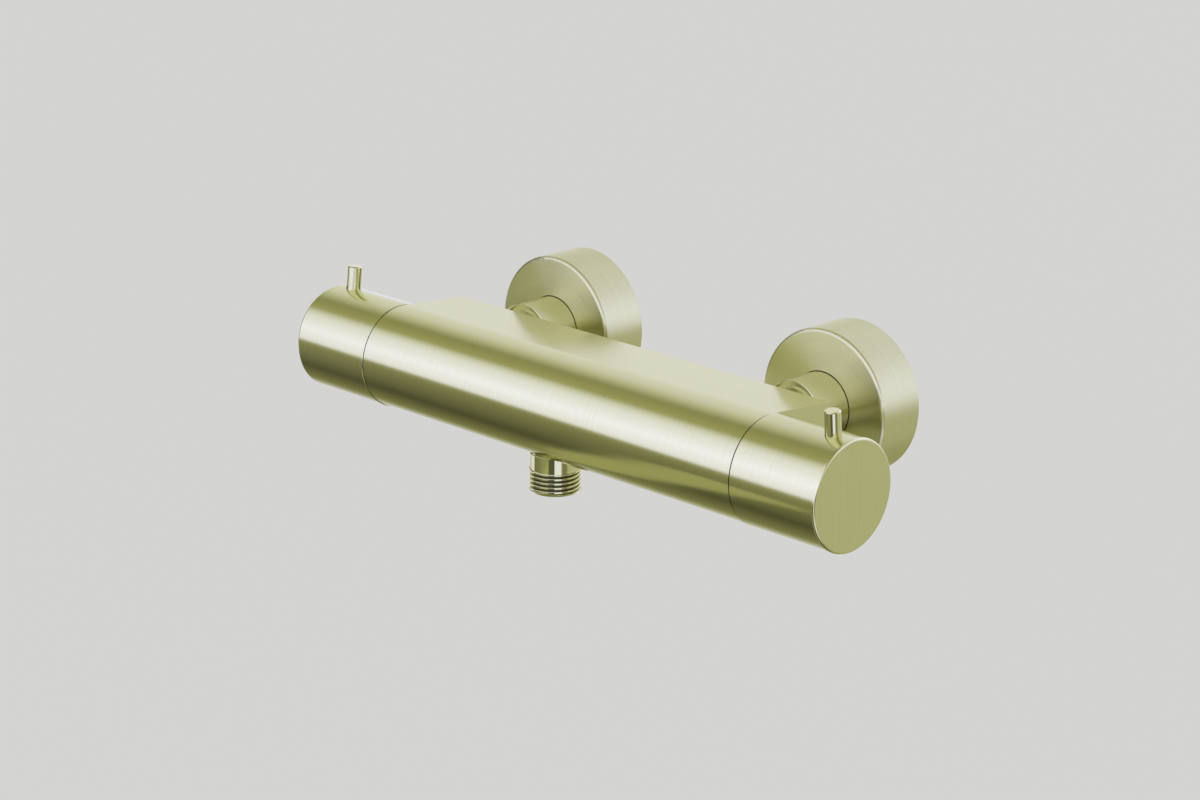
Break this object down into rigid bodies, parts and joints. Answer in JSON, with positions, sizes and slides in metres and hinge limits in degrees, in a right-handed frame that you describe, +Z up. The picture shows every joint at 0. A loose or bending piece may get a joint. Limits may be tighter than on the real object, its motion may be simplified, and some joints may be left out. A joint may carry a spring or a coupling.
{
  "type": "wall-mounted bar shower mixer",
  "caption": "Exposed bar shower mixer in brushed brass, with round turning handles with upright pins, deep round wall covers, union nuts and a threaded hose outlet below",
  "frame": {"origin": "on the wall plane, midway between the axes of the two wall stubs", "axes": "+X along the bar towards the temperature handle, +Y into the wall, +Z up"},
  "size_m": [0.2874, 0.1202, 0.0725],
  "materials": {
    "black_rubber": "moulded, matt",
    "brushed_brass": "brushed round the axis",
    "ceramic": "lapped smooth",
    "copper": "drawn, unfinished",
    "grey_plastic": "moulded, matt",
    "polished_brass": "polished",
    "raw_brass": "turned, unfinished",
    "stainless_steel": "brushed",
    "white_plastic": "moulded, matt"
  },
  "bodies": {
    "mixer": {"cartridge_base_ring": "raw_brass", "check_valve_housing_left": "white_plastic", "check_valve_housing_right": "white_plastic", "check_valve_spring_left": "stainless_steel", "check_valve_spring_right": "stainless_steel", "eccentric_union_left": "raw_brass", "eccentric_union_right": "raw_brass", "filter_washer_left": "black_rubber", "filter_washer_right": "black_rubber", "flow_cartridge_housing": "raw_brass", "flow_cartridge_o_ring": "black_rubber", "flow_fixed_disc": "ceramic", "flow_seat_seal": "black_rubber", "flow_stop_ring": "white_plastic", "inlet_tail_left": "raw_brass", "inlet_tail_o_ring_left": "black_rubber", "inlet_tail_o_ring_right": "black_rubber", "inlet_tail_right": "raw_brass", "mixer_body": "brushed_brass", "outlet_nipple": "polished_brass", "outlet_o_ring": "black_rubber", "return_spring": "stainless_steel", "rosette_left": "brushed_brass", "rosette_o_ring_left": "black_rubber", "rosette_o_ring_right": "black_rubber", "rosette_right": "brushed_brass", "temperature_cartridge_housing": "raw_brass", "temperature_cartridge_o_ring_inner": "black_rubber", "temperature_cartridge_o_ring_middle": "black_rubber", "temperature_cartridge_o_ring_outer": "black_rubber", "temperature_stop_ring": "white_plastic", "union_nut_left": "brushed_brass", "union_nut_right": "brushed_brass"},
    "temperature_control": {"temperature_handle": "brushed_brass", "temperature_handle_pin": "polished_brass", "temperature_handle_insert": "grey_plastic", "temperature_handle_screw": "stainless_steel", "temperature_spindle": "raw_brass", "temperature_spindle_o_ring": "black_rubber"},
    "flow_control": {"flow_handle": "brushed_brass", "flow_handle_pin": "polished_brass", "flow_handle_insert": "grey_plastic", "flow_handle_screw": "stainless_steel", "flow_spindle": "raw_brass", "flow_spindle_o_ring": "black_rubber", "flow_moving_disc": "ceramic"},
    "regulator": {"regulating_spool": "stainless_steel", "spool_o_ring": "black_rubber", "wax_element": "copper", "overload_cup": "raw_brass", "overload_clip": "stainless_steel", "overload_button": "stainless_steel", "overload_spring": "stainless_steel"},
    "left_poppet": {"check_valve_poppet_left": "grey_plastic"},
    "right_poppet": {"check_valve_poppet_right": "grey_plastic"}
  },
  "joints": [
    {"name": "temperature_turn", "type": "hinge", "parent": "mixer", "child": "temperature_control", "pos_m": [0.12, -0.0842, 0.0027], "axis": [1, 0, 0], "range_deg": [-220, 50]},
    {"name": "flow_turn", "type": "hinge", "parent": "mixer", "child": "flow_control", "pos_m": [-0.12, -0.0842, 0.0027], "axis": [-1, 0, 0], "range_deg": [0, 90]},
    {"name": "regulator_slide", "type": "slide", "parent": "mixer", "child": "regulator", "axis": [1, 0, 0], "range_m": [-0.0016, 0.0004], "deforming": ["return_spring"]},
    {"name": "left_poppet_slide", "type": "slide", "parent": "mixer", "child": "left_poppet", "axis": [0, -1, 0], "range_m": [0, 0.0025], "stiffness_N_per_m": 150, "springref_m": -0.001, "deforming": ["check_valve_spring_left"]},
    {"name": "right_poppet_slide", "type": "slide", "parent": "mixer", "child": "right_poppet", "axis": [0, -1, 0], "range_m": [0, 0.0025], "stiffness_N_per_m": 150, "springref_m": -0.001, "deforming": ["check_valve_spring_right"]}
  ],
  "couplings": [
    {"joint": "regulator_slide", "follows": "temperature_turn", "m_per_rad": 0.00039789}
  ]
}
